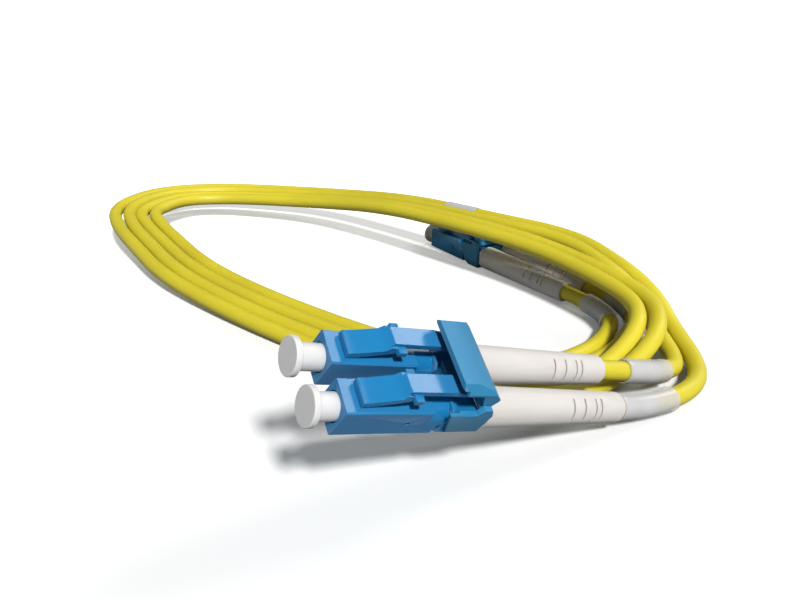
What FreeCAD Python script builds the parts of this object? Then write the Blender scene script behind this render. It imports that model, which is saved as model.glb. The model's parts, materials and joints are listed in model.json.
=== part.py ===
import FreeCAD, Part
import math
import os

V = FreeCAD.Vector

# Fibre optic patch cord, millimetres, +Z up.
# Each plug is drawn with its nose front at x = 0, the cord leaving along +X and the latch on +Z.

# Interface sizes of the small-form-factor plug
PLUG_PITCH = 6.25
FERRULE_R = 0.6245
NOSE = 4.52
NOSE_LEN = 11.5
NOSE_EDGE = 0.2
SIDE_LEN = 13.4

# Clearances
RUN_FIT = 0.05
CAP_FIT = 0.03
FLOAT_PLAY = 0.05
SPRING_PLAY = 0.45
SEAT = 0.05

# Housing behind the nose
NOSE_BORE_R = 1.75
NOSE_BORE_LEN = 4.3
WEB = 0.7
WEB_HOLE_R = 0.85
CAVITY_R = 1.65
COLLAR_R = 2.25
COLLAR_END = 14.1
FLANGE_W = 4.7
FLANGE_T = 0.4
BLOCK_W = 4.1
BLOCK_TOP = 2.05
BLOCK_EDGE = 0.6
BLOCK_END = 19.4
NUB_X = 11.3
NUB_R = 0.45
NUB_H = 0.2
EYE_X = 8.9
EYE_R = 0.3
EYE_DEPTH = 0.25

# Ferrule carrier
TIP_X = -1.8
TIP_CHAMFER = 0.12
FERRULE_LEN = 8.0
CARRIER_R = 1.45
CARRIER_T = 1.55
CARRIER_FLAT = 1.3
GUIDE_R = 0.9
GUIDE_LEN = 1.4
GUIDE_BORE_R = 0.45
SPRING_WIRE_R = 0.15
SPRING_MEAN_R = 1.3
SPRING_TURNS = 5.5

# Rear body, crimp and boot
REAR_TUBE_X = 12.6
REAR_BORE_R = 0.6
REAR_COLLAR_W = 4.1
REAR_COLLAR_T = 0.65
BARREL_R = 1.5
BARREL_LEN = 4.8
CRIMP_WALL = 0.4
CRIMP_LEN = 7.4
BOOT_END = 45.8
BOOT_FRONT_R = 2.6
BOOT_END_R = 2.15
BOOT_BORE_R = 1.62
BOOT_LIP = 0.45
SLOT_AT = (34.9, 37.1, 39.3, 40.4)
SLOT_TURN = 45
SLOT_W = 0.32
SLOT_FLOOR_R = 1.8
SLOT_HALF_H = 1.5

# Latch lever: side profiles in x and height above the top of the nose, and widths
LATCH_GAP = 0.16
LATCH_HALF = 1.59
LATCH_ARM = (
    (1.75, LATCH_GAP), (1.75, 0.84), (1.9, 0.99), (2.9, 1.04), (6.1, 1.69), (6.7, 2.29),
    (7.5, 2.29), (7.5, 1.39), (6.1, 0.94), (2.9, LATCH_GAP + 0.05),
)
TAB_HALF = 1.2
TAB_TOP = 2.64
TAB_END = 15.2
LATCH_TAB = (
    (6.6, 1.34), (6.6, 2.19), (7.1, TAB_TOP), (13.4, TAB_TOP), (TAB_END, 2.14), (TAB_END, 1.69),
    (13.4, 1.89), (9.2, 1.89), (8.4, 1.44),
)
LUG_HALF = 2.1
LUG_X = (7.6, 8.7)
LUG_Z = (1.49, 2.19)

# Duplex clip, which goes round both blocks, and its trigger between the cheeks
CLIP_FRONT = (14.6, 13.1)
CLIP_END = 19.35
CLIP_HEEL = 0.8
CLIP_BOTTOM = -2.7
CHINE_Z = -0.85
CHEEK_TOP = 2.65
CHEEK_T = 0.75
BLOCK_FIT = 0.075
CHEEK_INNER = PLUG_PITCH / 2 + BLOCK_W / 2 + BLOCK_FIT
CLIP_HALF = CHEEK_INNER + CHEEK_T
KEEL_INSET = 1.1
PIN_SKIN = 0.25
BRIDGE_HALF = 1.5
BRIDGE_X = (14.8, 16.8)
BRIDGE_Z = (2.3, 2.85)
BOSS_X = 17.0
BOSS_TOP = 3.75
TRIGGER_PIVOT = (18.2, 3.05)
TRIGGER_PIN_R = 0.4
TRIGGER_BARREL_R = 0.7
TRIGGER_SIDE_GAP = 0.15
TRIGGER_HALF = CHEEK_INNER - RUN_FIT
TRIGGER_TOP_INSET = 0.9
TRIGGER_SHOULDER_Z = 5.75
TRIGGER_CORNER = (0.6, 0.8)
TRIGGER_TOP = ((13.05, 6.8), (15.1, 6.8), (17.6, 6.2), (19.25, 4.9), (19.25, 4.4))
TRIGGER_LIP = 0.7
TRIGGER_PUSHER = (13.95, 16.4, 5.45)

# Dust cap
CAP_DISC_R = 2.3
CAP_DISC_T = 0.8
CAP_FRONT = -3.3
CAP_TUBE_R = 1.6
CAP_FLOOR = -2.2
CAP_TUBE_END = 3.9
CAP_PROUD = {"a2": 0.5}

# Cord: two round legs side by side
LEG_R = 1.5
LEG_PITCH = 3.3
SLEEVE_R = 1.95
SLEEVE_BORE_R = 1.68
LABEL_R = 1.64
LABEL_BORE_R = 1.55
TURN_SHARE = 0.45

# Stance of the two ends: nose front centre and yaw, pitch, roll in degrees
STANCE = {
    "a": (V(-7.8, 72.5, 17.2), (32.2, 14.9, 33.9)),
    "b": (V(12.0, 184.0, -CLIP_BOTTOM), (-58.0, 0.0, 0.0)),
}

# Centreline of the coiled cord, places chosen by hand: x, y, z, heading, climb
COIL_KNOTS = (
    (47.3, 121.0, 3.2, 95, 10),
    (45.6, 131.5, 6.9, 104, 17),
    (40.4, 142.5, 10.2, 118, 9),
    (11.5, 173.8, 11.4, 138, 0),
    (-31.0, 206.5, 7.2, 155, -4),
    (-59.0, 213.7, 5.2, 182, -3),
    (-73.6, 202.5, 4.0, 252, -5),
    (-66.3, 177.3, 2.2, 303, -2),
    (-43.0, 143.9, 1.6, 312, 0),
    (-12.0, 115.4, 1.6, 323, 0),
    (15.0, 101.5, 1.6, 349, 1),
    (33.0, 107.0, 2.6, 40, 10),
    (41.0, 119.8, 7.2, 82, 9),
    (33.4, 140.2, 10.2, 124, 5),
    (6.5, 168.6, 11.4, 139, 0),
    (-33.0, 198.8, 7.0, 155, -4),
    (-57.5, 205.3, 4.9, 182, -3),
    (-66.5, 197.8, 3.8, 252, -5),
    (-60.6, 181.2, 2.0, 303, -2),
    (-37.8, 148.6, 1.5, 312, 0),
    (-8.0, 121.6, 1.5, 323, 0),
    (15.5, 109.5, 1.5, 346, 0),
    (32.0, 115.0, 1.5, 46, 0),
)

# Straight runs of the four leads beside the boots, and the bends between
LEAD_FIRST_RUN = 6.2
LEAD_BEND = {1: V(44.8, 102.6, 1.8), 2: V(41.2, 106.0, 3.4)}
LEAD_LAST_RUN = {1: 9.6, 2: 8.4}
TAIL_FIRST_RUN = {1: 9.0, 2: 8.0}
TAIL_LAST_RUN = {1: 13.7, 2: 13.2}

# Clear sleeves with a rolled label inside: start behind the boot and length
SLEEVES = {"a1": (0.2, 12.0), "a2": (5.9, 10.2), "b1": (6.2, 9.5), "b2": (6.7, 9.5)}
LABEL_INSET = 0.8
LABEL_LEN = 7.0
STRAND_LABEL_AT = 62.0
STRAND_LABEL_LEN = 9.5

# Stretches of the cord nearer than this along it aren't compared for their gap
GAP_SKIP = 30.0


# Solid helpers
def box(x0, x1, y0, y1, z0, z1):
    return Part.makeBox(x1 - x0, y1 - y0, z1 - z0, V(x0, y0, z0))


def rod(r, x0, x1, y=0.0, z=0.0):
    return Part.makeCylinder(r, x1 - x0, V(x0, y, z), V(1, 0, 0))


def cone(r0, r1, x0, x1):
    return Part.makeCone(r0, r1, x1 - x0, V(x0, 0, 0), V(1, 0, 0))


def cross_pin(r, x, z, y0, y1):
    return Part.makeCylinder(r, y1 - y0, V(x, y0, z), V(0, 1, 0))


def side_plate(points, y0, y1):
    # prism of a side profile given in x and z
    wire = Part.makePolygon([V(x, y0, z) for x, z in points] + [V(points[0][0], y0, points[0][1])])
    return Part.Face(wire).extrude(V(0, y1 - y0, 0))


def end_plate(points, x0, x1):
    # prism of a cross-section given in y and z
    wire = Part.makePolygon([V(x0, y, z) for y, z in points] + [V(x0, points[0][0], points[0][1])])
    return Part.Face(wire).extrude(V(x1 - x0, 0, 0))


def square_section(half, top, edge):
    return [
        (-half + edge, -half), (half - edge, -half), (half, -half + edge), (half, top - edge),
        (half - edge, top), (-half + edge, top), (-half, top - edge), (-half, -half + edge),
    ]


# Pieces of one plug
def housing():
    half = NOSE / 2
    body = end_plate(square_section(half, half, NOSE_EDGE), 0, NOSE_LEN)
    body = body.fuse(rod(COLLAR_R, NOSE_LEN - SEAT, COLLAR_END + SEAT))
    body = body.fuse(end_plate(square_section(half, 0, NOSE_EDGE), NOSE_LEN - SEAT, SIDE_LEN))
    flange = square_section(FLANGE_W / 2, FLANGE_W / 2, BLOCK_EDGE)
    body = body.fuse(end_plate(flange, COLLAR_END, COLLAR_END + FLANGE_T))
    block = square_section(BLOCK_W / 2, BLOCK_TOP, BLOCK_EDGE)
    body = body.fuse(end_plate(block, COLLAR_END + FLANGE_T, BLOCK_END))
    nub = Part.makeCylinder(NUB_R, NUB_H + half, V(NUB_X, 0, -half - NUB_H))
    body = body.fuse(nub)
    body = body.cut(rod(NOSE_BORE_R, -1, NOSE_BORE_LEN))
    body = body.cut(rod(WEB_HOLE_R, NOSE_BORE_LEN - 1, NOSE_BORE_LEN + WEB + 1))
    body = body.cut(rod(CAVITY_R, NOSE_BORE_LEN + WEB, BLOCK_END + 1))
    for side in (-1, 1):
        y0 = side * half if side < 0 else half - EYE_DEPTH
        body = body.cut(cross_pin(EYE_R, EYE_X, 0, y0, y0 + EYE_DEPTH))
    return body.removeSplitter()


def latch():
    top = NOSE / 2
    arm = side_plate([(x, top + z) for x, z in LATCH_ARM], -LATCH_HALF, LATCH_HALF)
    tab = side_plate([(x, top + z) for x, z in LATCH_TAB], -TAB_HALF, TAB_HALF)
    lugs = box(LUG_X[0], LUG_X[1], -LUG_HALF, LUG_HALF, top + LUG_Z[0], top + LUG_Z[1])
    return arm.fuse(tab).fuse(lugs).removeSplitter()


def ferrule():
    body = rod(FERRULE_R, TIP_X + TIP_CHAMFER, TIP_X + FERRULE_LEN)
    return body.fuse(cone(FERRULE_R - TIP_CHAMFER, FERRULE_R, TIP_X, TIP_X + TIP_CHAMFER)).removeSplitter()


def carrier():
    x0 = NOSE_BORE_LEN + WEB + FLOAT_PLAY
    x1 = x0 + CARRIER_T
    body = rod(CARRIER_R, x0, x1)
    hexagon = []
    for k in range(6):
        a = math.radians(60 * k)
        reach = CARRIER_FLAT / math.cos(math.radians(30))
        hexagon.append((reach * math.cos(a), reach * math.sin(a)))
    body = body.common(end_plate(hexagon, x0, x1))
    body = body.fuse(rod(GUIDE_R, x1, x1 + GUIDE_LEN))
    body = body.cut(rod(FERRULE_R, x0 - 1, TIP_X + FERRULE_LEN))
    return body.cut(rod(GUIDE_BORE_R, x0, x1 + GUIDE_LEN + 1)).removeSplitter()


def spring():
    x0 = NOSE_BORE_LEN + WEB + FLOAT_PLAY + CARRIER_T + SPRING_PLAY + SPRING_WIRE_R
    x1 = REAR_TUBE_X - SEAT - SPRING_WIRE_R
    pitch = (x1 - x0) / SPRING_TURNS
    path = Part.Wire(Part.makeHelix(pitch, x1 - x0, SPRING_MEAN_R))
    ring = Part.Wire(Part.Circle(V(SPRING_MEAN_R, 0, 0), V(0, 1, 0), SPRING_WIRE_R).toShape())
    coil = path.makePipeShell([ring], True, True)
    coil.rotate(V(0, 0, 0), V(0, 1, 0), 90)
    coil.translate(V(x0, 0, 0))
    return coil


def rear_body():
    body = rod(CAVITY_R - RUN_FIT, REAR_TUBE_X, BLOCK_END + SEAT)
    x0 = BLOCK_END + SEAT
    collar = square_section(REAR_COLLAR_W / 2, BLOCK_TOP, BLOCK_EDGE)
    body = body.fuse(end_plate(collar, x0, x0 + REAR_COLLAR_T))
    body = body.fuse(rod(BARREL_R, x0, x0 + REAR_COLLAR_T + BARREL_LEN))
    return body.cut(rod(REAR_BORE_R, REAR_TUBE_X - 1, x0 + REAR_COLLAR_T + BARREL_LEN + 1)).removeSplitter()


def boot_start():
    return BLOCK_END + SEAT + REAR_COLLAR_T + SEAT


def crimp_sleeve():
    x0 = boot_start() + SEAT
    r = LEG_R + SEAT
    return rod(r + CRIMP_WALL, x0, x0 + CRIMP_LEN).cut(rod(r, x0 - 1, x0 + CRIMP_LEN + 1))


def boot():
    x0 = boot_start()
    body = cone(BOOT_FRONT_R, BOOT_END_R, x0, BOOT_END - BOOT_LIP)
    body = body.fuse(cone(BOOT_END_R, BOOT_END_R - BOOT_LIP / 2, BOOT_END - BOOT_LIP, BOOT_END))
    for x in SLOT_AT:
        ring = rod(BOOT_FRONT_R + 1, x, x + SLOT_W).cut(rod(SLOT_FLOOR_R, x - 1, x + 1))
        for side in (-1, 1):
            z0 = min(0, side * BOOT_FRONT_R * 2)
            zone = box(x, x + SLOT_W, -SLOT_HALF_H, SLOT_HALF_H, z0, z0 + 2 * BOOT_FRONT_R)
            cutter = ring.common(zone)
            cutter.rotate(V(0, 0, 0), V(1, 0, 0), SLOT_TURN)
            body = body.cut(cutter)
    hollow_r = LEG_R + SEAT + CRIMP_WALL + SEAT
    hollow_end = x0 + SEAT + CRIMP_LEN + SEAT
    body = body.cut(rod(hollow_r, x0 - 1, hollow_end))
    return body.cut(rod(BOOT_BORE_R, x0, BOOT_END + 1)).removeSplitter()


def cord_end():
    x0 = boot_start() + BARREL_LEN + SEAT
    return rod(LEG_R, x0, BOOT_END + SEAT)


def dust_cap():
    body = rod(CAP_DISC_R, CAP_FRONT, CAP_FRONT + CAP_DISC_T)
    body = body.fuse(rod(CAP_TUBE_R, CAP_FRONT + CAP_DISC_T, CAP_TUBE_END))
    return body.cut(rod(FERRULE_R + CAP_FIT, CAP_FLOOR, CAP_TUBE_END + 1)).removeSplitter()


# Pieces that join the two plugs of one end
def clip():
    low_front, high_front = CLIP_FRONT
    keel = CLIP_HALF - KEEL_INSET
    shell = end_plate([
        (-CLIP_HALF, BOSS_TOP), (-CLIP_HALF, CHINE_Z), (-keel, CLIP_BOTTOM), (keel, CLIP_BOTTOM),
        (CLIP_HALF, CHINE_Z), (CLIP_HALF, BOSS_TOP),
    ], high_front, CLIP_END)
    px, pz = TRIGGER_PIVOT
    cheek = side_plate([
        (low_front, CLIP_BOTTOM), (low_front, CHINE_Z), (high_front, CHEEK_TOP), (BOSS_X, CHEEK_TOP),
        (px - TRIGGER_BARREL_R, BOSS_TOP), (px + TRIGGER_PIN_R, BOSS_TOP), (CLIP_END, CHEEK_TOP),
        (CLIP_END, CHINE_Z), (CLIP_END - CLIP_HEEL, CLIP_BOTTOM),
    ], -CLIP_HALF, CLIP_HALF)
    body = shell.common(cheek)
    half = BLOCK_W / 2 + BLOCK_FIT
    low = -BLOCK_W / 2 - SEAT
    inner = PLUG_PITCH / 2
    for side in (-1, 1):
        c = side * inner
        body = body.cut(end_plate([
            (c - half, low + BLOCK_EDGE), (c - half + BLOCK_EDGE, low), (c + half - BLOCK_EDGE, low),
            (c + half, low + BLOCK_EDGE), (c + half, BOSS_TOP + 1), (c - half, BOSS_TOP + 1),
        ], high_front - 1, CLIP_END + 1))
    body = body.cut(box(high_front - 1, CLIP_END + 1, -inner, inner, BRIDGE_Z[0], BOSS_TOP + 1))
    wide = inner + FLANGE_W / 2 + BLOCK_FIT
    body = body.cut(box(high_front - 1, low_front + SEAT, -wide, wide, CLIP_BOTTOM - 1, BOSS_TOP + 1))
    body = body.fuse(box(BRIDGE_X[0], BRIDGE_X[1], -BRIDGE_HALF, BRIDGE_HALF, BRIDGE_Z[0], BRIDGE_Z[1]))
    reach = CLIP_HALF - PIN_SKIN
    body = body.cut(cross_pin(TRIGGER_PIN_R + RUN_FIT, px, pz, -reach, reach))
    return body.removeSplitter()


def trigger():
    x0, z1 = TRIGGER_TOP[0]
    x1 = TRIGGER_TOP[-1][0]
    push0, push1, push_z = TRIGGER_PUSHER
    px, pz = TRIGGER_PIVOT
    plate = side_plate([
        (x0, z1 - TRIGGER_LIP), *TRIGGER_TOP, (px + TRIGGER_PIN_R, pz), (px - TRIGGER_PIN_R, pz),
        (push1, push_z), (push0, push_z), (push0, z1 - TRIGGER_LIP),
    ], -TRIGGER_HALF, TRIGGER_HALF)
    across, along = TRIGGER_CORNER
    for side in (-1, 1):
        edge = side * (TRIGGER_HALF + 1)
        plate = plate.cut(end_plate([
            (side * (TRIGGER_HALF - TRIGGER_TOP_INSET), z1 + SEAT), (edge, z1 + SEAT),
            (edge, TRIGGER_SHOULDER_Z), (side * TRIGGER_HALF, TRIGGER_SHOULDER_Z),
        ], x0 - 1, x1 + 1))
        corner = Part.makePolygon([
            V(x0 - 1, side * (TRIGGER_HALF - along), push_z), V(x0, side * (TRIGGER_HALF - along), push_z),
            V(x0 + across, edge, push_z), V(x0 - 1, edge, push_z),
            V(x0 - 1, side * (TRIGGER_HALF - along), push_z),
        ])
        plate = plate.cut(Part.Face(corner).extrude(V(0, 0, z1)))
    gap = CHEEK_INNER - TRIGGER_SIDE_GAP
    body = plate.fuse(cross_pin(TRIGGER_BARREL_R, px, pz, -gap, gap))
    reach = CLIP_HALF - PIN_SKIN - SEAT
    return body.fuse(cross_pin(TRIGGER_PIN_R, px, pz, -reach, reach)).removeSplitter()


# Cord centrelines
def direction(heading, climb):
    h = math.radians(heading)
    c = math.radians(climb)
    return V(math.cos(h) * math.cos(c), math.sin(h) * math.cos(c), math.sin(c))


def joint_of(p0, t0, p1, t1):
    # meeting point and direction of the two arcs that join two knots
    chord = p1 - p0
    both = t0 + t1
    spread = 2 * (1 - t0.dot(t1))
    if spread < 1e-9:
        d = chord.dot(chord) / (4 * chord.dot(t0))
    else:
        lean = chord.dot(both)
        d = (math.sqrt(lean * lean + spread * chord.dot(chord)) - lean) / spread
    a = p0 + t0 * d
    b = p1 - t1 * d
    return (a + b) * 0.5, (b - a).normalize()


def arc_between(p, t, q):
    # edge that leaves p along t and ends at q, and its radius
    chord = q - p
    u = V(chord).normalize()
    bulge = t - u * t.dot(u)
    if bulge.Length < 1e-6:
        return Part.LineSegment(p, q).toShape(), 1e6
    angle = math.atan2(bulge.Length, t.dot(u))
    top = (p + q) * 0.5 + bulge.normalize() * (chord.Length / 2 * math.tan(angle / 2))
    return Part.Arc(p, top, q).toShape(), chord.Length / 2 / math.sin(angle)


def coil_nodes():
    nodes = []
    ends = [(V(x, y, z), direction(h, c)) for x, y, z, h, c in COIL_KNOTS]
    for (p0, t0), (p1, t1) in zip(ends[:-1], ends[1:]):
        nodes.append((p0, t0))
        nodes.append(joint_of(p0, t0, p1, t1))
    nodes.append(ends[-1])
    return nodes


def coil_leg(offset):
    # edges of one leg beside the centreline, its radii and its two ends
    nodes = []
    for p, t in coil_nodes():
        side = V(t.y, -t.x, 0).normalize()
        nodes.append((p + side * offset, t))
    edges = []
    radii = []
    for (p0, t0), (p1, t1) in zip(nodes[:-1], nodes[1:]):
        mid, mid_t = joint_of(p0, t0, p1, t1)
        for p, t, q in ((p0, t0, mid), (mid, mid_t, p1)):
            edge, r = arc_between(p, t, q)
            edges.append(edge)
            radii.append(r)
    return edges, radii, nodes[0], nodes[-1]


def bent_route(points):
    # straight runs joined by tangent arcs
    edges = []
    radii = []
    start = points[0]
    for k in range(1, len(points) - 1):
        back = points[k - 1] - points[k]
        ahead = points[k + 1] - points[k]
        reach = TURN_SHARE * min(back.Length, ahead.Length)
        back.normalize()
        ahead.normalize()
        turn = math.pi - back.getAngle(ahead)
        p = points[k] + back * reach
        q = points[k] + ahead * reach
        edges.append(Part.LineSegment(start, p).toShape())
        edge, r = arc_between(p, back * -1, q)
        edges.append(edge)
        radii.append(reach / math.tan(turn / 2))
        start = q
    edges.append(Part.LineSegment(start, points[-1]).toShape())
    return edges, radii


def tube(edges, r_out, r_in=0.0):
    start = edges[0].valueAt(edges[0].FirstParameter)
    along = edges[0].tangentAt(edges[0].FirstParameter)
    path = Part.Wire(edges)
    ring = Part.Wire(Part.Circle(start, along, r_out).toShape())
    solid = path.makePipeShell([ring], True, False)
    if r_in > 0:
        hole = Part.Wire(Part.Circle(start, along, r_in).toShape())
        solid = solid.cut(path.makePipeShell([hole], True, False))
    return solid


def part_of(edges, start, length):
    # the stretch of a chain of edges between two distances from its start
    out = []
    done = 0.0
    for edge in edges:
        a = max(start - done, 0.0)
        b = min(start + length - done, edge.Length)
        if b - a > 1e-4:
            pa = edge.getParameterByLength(a)
            pb = edge.getParameterByLength(b)
            out.append(edge.Curve.toShape(pa, pb))
        done += edge.Length
    return out


# Place of each plug and end
def end_placement(end):
    spot, turn = STANCE[end]
    return FreeCAD.Placement(spot, FreeCAD.Rotation(*turn))


def plug_offset(plug):
    return -PLUG_PITCH / 2 if plug == 1 else PLUG_PITCH / 2


def plug_placement(end, plug):
    shift = FreeCAD.Placement(V(0, plug_offset(plug), 0), FreeCAD.Rotation())
    return end_placement(end).multiply(shift)


def exit_of(end, plug):
    place = plug_placement(end, plug)
    spot = place.multVec(V(BOOT_END + SEAT, 0, 0))
    along = place.Rotation.multVec(V(1, 0, 0))
    return spot, along


def lead_edges(leg):
    # from the boots of end a to the start of the coil
    spot, along = exit_of("a", leg)
    _, _, (p, t), _ = coil_leg(leg_offset(leg))
    points = [spot, spot + along * LEAD_FIRST_RUN, LEAD_BEND[leg], p - t * LEAD_LAST_RUN[leg], p]
    return bent_route(points)


def tail_edges(leg):
    # from the boots of end b to the end of the coil
    spot, along = exit_of("b", 3 - leg)
    _, _, _, (p, t) = coil_leg(leg_offset(leg))
    points = [spot, spot + along * TAIL_LAST_RUN[leg], p + t * TAIL_FIRST_RUN[leg], p]
    return bent_route(points)


def leg_offset(leg):
    return LEG_PITCH / 2 if leg == 1 else -LEG_PITCH / 2


def gap_to_itself(edges):
    # least free gap between stretches of one chain that are far apart along it
    points = []
    done = 0.0
    for edge in edges:
        n = max(2, int(edge.Length / LEG_R))
        for k in range(n):
            step = edge.Length * k / n
            points.append((done + step, edge.valueAt(edge.getParameterByLength(step))))
        done += edge.Length
    least = 1e9
    for i in range(len(points)):
        for j in range(i + 1, len(points)):
            if points[j][0] - points[i][0] > GAP_SKIP:
                least = min(least, points[i][1].distanceToPoint(points[j][1]))
    return least - 2 * LEG_R


PLUG_PIECES = {
    "housing": housing, "latch": latch, "ferrule": ferrule, "carrier": carrier, "spring": spring,
    "rear_body": rear_body, "crimp_sleeve": crimp_sleeve, "boot": boot, "cord_end": cord_end,
    "dust_cap": dust_cap,
}
END_PIECES = {"clip": clip, "trigger": trigger}


def end_solids():
    out = {}
    plug_shapes = {name: make() for name, make in PLUG_PIECES.items()}
    end_shapes = {name: make() for name, make in END_PIECES.items()}
    for end in ("a", "b"):
        for name, shape in end_shapes.items():
            copy = shape.copy()
            copy.Placement = end_placement(end).multiply(copy.Placement)
            out["%s_%s" % (end, name)] = copy
        for plug in (1, 2):
            for name, shape in plug_shapes.items():
                copy = shape.copy()
                if name == "dust_cap":
                    copy.translate(V(-CAP_PROUD.get("%s%d" % (end, plug), 0), 0, 0))
                copy.Placement = plug_placement(end, plug).multiply(copy.Placement)
                out["%s%d_%s" % (end, plug, name)] = copy
    return out


def cord_solids():
    out = {}
    for leg in (1, 2):
        coil, radii, _, _ = coil_leg(leg_offset(leg))
        lead, lead_radii = lead_edges(leg)
        tail, tail_radii = tail_edges(leg)
        for name, edges, rs in (("coil", coil, radii), ("lead_a", lead, lead_radii), ("lead_b", tail, tail_radii)):
            solid = tube(edges, LEG_R)
            length = sum(e.Length for e in edges)
            ratio = solid.Volume / (math.pi * LEG_R ** 2 * length)
            print("leg %d %s length %.1f least radius %.1f volume ratio %.4f" % (leg, name, length, min(rs), ratio))
            out["leg%d_%s" % (leg, name)] = solid
        print("leg %d least gap to itself %.2f" % (leg, gap_to_itself(coil)))
        for end, edges, plug in (("a", lead, leg), ("b", tail, 3 - leg)):
            start, length = SLEEVES["%s%d" % (end, plug)]
            out["%s%d_sleeve" % (end, plug)] = tube(part_of(edges, start, length), SLEEVE_R, SLEEVE_BORE_R)
            rolled = part_of(edges, start + LABEL_INSET, LABEL_LEN)
            out["%s%d_label" % (end, plug)] = tube(rolled, LABEL_R, LABEL_BORE_R)
        if leg == 1:
            out["strand_label"] = tube(part_of(coil, STRAND_LABEL_AT, STRAND_LABEL_LEN), LABEL_R, LABEL_BORE_R)
    return out


def origin_shift(solids):
    # middle of both ends in plan, at the height that the part stands on
    whole = Part.makeCompound(list(solids.values())).optimalBoundingBox(False, False)
    return V(-(whole.XMin + whole.XMax) / 2, -(whole.YMin + whole.YMax) / 2, 0)


def all_solids():
    ends = end_solids()
    shift = origin_shift(ends)
    solids = dict(ends)
    solids.update(cord_solids())
    for shape in solids.values():
        shape.translate(shift)
    return solids, shift


def main():
    os.makedirs("parts", exist_ok=True)
    solids, shift = all_solids()
    print("shift %.3f %.3f, pieces %d" % (shift.x, shift.y, len(solids)))
    for name, shape in solids.items():
        if len(shape.Solids) != 1 or not shape.isValid():
            raise RuntimeError("%s has %d solids, valid %s" % (name, len(shape.Solids), shape.isValid()))
        shape.Solids[0].exportStep("parts/%s.step" % name)


if __name__ == "__main__":
    main()
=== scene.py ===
import json
import math
import bpy
import bmesh
from mathutils import Euler, Matrix, Vector

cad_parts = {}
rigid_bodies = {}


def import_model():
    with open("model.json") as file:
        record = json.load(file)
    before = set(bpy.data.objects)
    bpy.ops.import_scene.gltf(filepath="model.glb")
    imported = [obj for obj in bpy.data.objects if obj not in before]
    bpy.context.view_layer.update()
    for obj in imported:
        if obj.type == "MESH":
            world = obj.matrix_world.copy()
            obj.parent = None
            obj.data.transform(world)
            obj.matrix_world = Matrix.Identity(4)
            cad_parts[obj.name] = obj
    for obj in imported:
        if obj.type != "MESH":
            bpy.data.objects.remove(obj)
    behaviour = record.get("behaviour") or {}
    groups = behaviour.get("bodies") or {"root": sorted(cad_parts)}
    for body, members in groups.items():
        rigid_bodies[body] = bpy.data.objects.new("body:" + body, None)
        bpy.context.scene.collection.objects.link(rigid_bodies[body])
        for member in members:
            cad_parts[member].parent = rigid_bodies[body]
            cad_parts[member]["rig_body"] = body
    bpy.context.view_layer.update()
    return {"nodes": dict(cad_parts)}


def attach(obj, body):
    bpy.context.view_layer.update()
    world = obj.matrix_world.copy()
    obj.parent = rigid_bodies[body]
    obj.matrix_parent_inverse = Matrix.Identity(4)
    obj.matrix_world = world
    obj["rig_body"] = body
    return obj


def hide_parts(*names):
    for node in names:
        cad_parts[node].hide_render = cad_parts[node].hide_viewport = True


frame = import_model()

bl_info = {
    "name": "Fiber optic patch cord",
    "version": (1, 0, 0),
    "blender": (4, 5, 0),
    "location": "View3D > Sidebar > Patch cord",
    "description": "Coiled duplex patch cord with its plugs, clips, boots, sleeves and dust caps",
    "category": "Object",
}

MM = 0.001

# The model's origin seen from the spot on the table below the camera
TABLE_TO_MODEL = Vector((-13.659, -128.034, 0.0))

# Nose front centre and yaw, pitch, roll of each end
STANCE = {
    "a": (Vector((-7.8, 72.5, 17.2)), (32.2, 14.9, 33.9)),
    "b": (Vector((12.0, 184.0, 2.7)), (-58.0, 0.0, 0.0)),
}
PLUG_PITCH = 6.25
EXIT_X = 45.85

# Centre route of the coiled cord on the table, where the two legs run side by side
COIL_ROUTE = (
    (47.1, 123.8, 3.7), (46.3, 128.9, 6.1),
    (44.9, 134.4, 7.8), (41.9, 139.7, 9.7),
    (35.4, 151.9, 11.9), (19.5, 166.6, 11.4),
    (1.4, 186.0, 10.6), (-19.2, 205.6, 7.0),
    (-38.1, 211.9, 6.0), (-51.7, 214.0, 5.6),
    (-62.9, 209.6, 5.8), (-69.3, 199.4, 6.3),
    (-71.8, 185.9, 6.0), (-66.3, 173.3, 5.2),
    (-57.9, 161.0, 4.2), (-48.4, 147.2, 3.1),
    (-35.6, 134.8, 2.1), (-20.4, 121.8, 1.6),
    (-5.8, 110.8, 1.6), (7.4, 103.0, 1.5),
    (19.9, 100.6, 1.7), (29.3, 103.9, 1.7),
    (36.5, 109.3, 3.9), (41.6, 115.0, 7.2),
    (43.2, 124.6, 8.5), (37.4, 135.5, 9.8),
    (27.9, 148.3, 11.1), (13.9, 162.1, 11.4),
    (-3.0, 179.6, 10.6), (-21.9, 197.6, 6.9),
    (-39.2, 203.6, 5.9), (-51.1, 205.5, 5.3),
    (-59.7, 201.9, 5.5), (-63.4, 194.5, 5.7),
    (-65.5, 186.1, 5.3), (-60.5, 177.4, 4.4),
    (-53.3, 166.9, 3.5), (-43.7, 153.1, 2.5),
    (-30.9, 140.3, 1.8), (-16.0, 127.7, 1.5),
    (-2.7, 117.6, 1.5), (9.0, 111.1, 1.5),
    (20.0, 108.4, 1.5), (28.8, 111.6, 1.5),
)

# Where each leg joins and leaves the coil, its bends beside end a, and its run beside end b
COIL_START = (Vector((47.3, 121.0, 3.2)), 95.0, 10.0)
COIL_END = (Vector((32.0, 115.0, 1.5)), 46.0, 0.0)
LEAD_BEND = {1: Vector((44.8, 102.6, 1.8)), 2: Vector((41.2, 106.0, 3.4))}
LEAD_FIRST_RUN = 6.2
LEAD_LAST_RUN = {1: 9.6, 2: 8.4}
TAIL_FIRST_RUN = {1: 9.0, 2: 8.0}
TAIL_LAST_RUN = {1: 13.7, 2: 13.2}

# Clear sleeves: distance behind the boot and length
SLEEVES = {"a1": (0.2, 12.0), "a2": (5.9, 10.2), "b1": (6.2, 9.5), "b2": (6.7, 9.5)}

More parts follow.
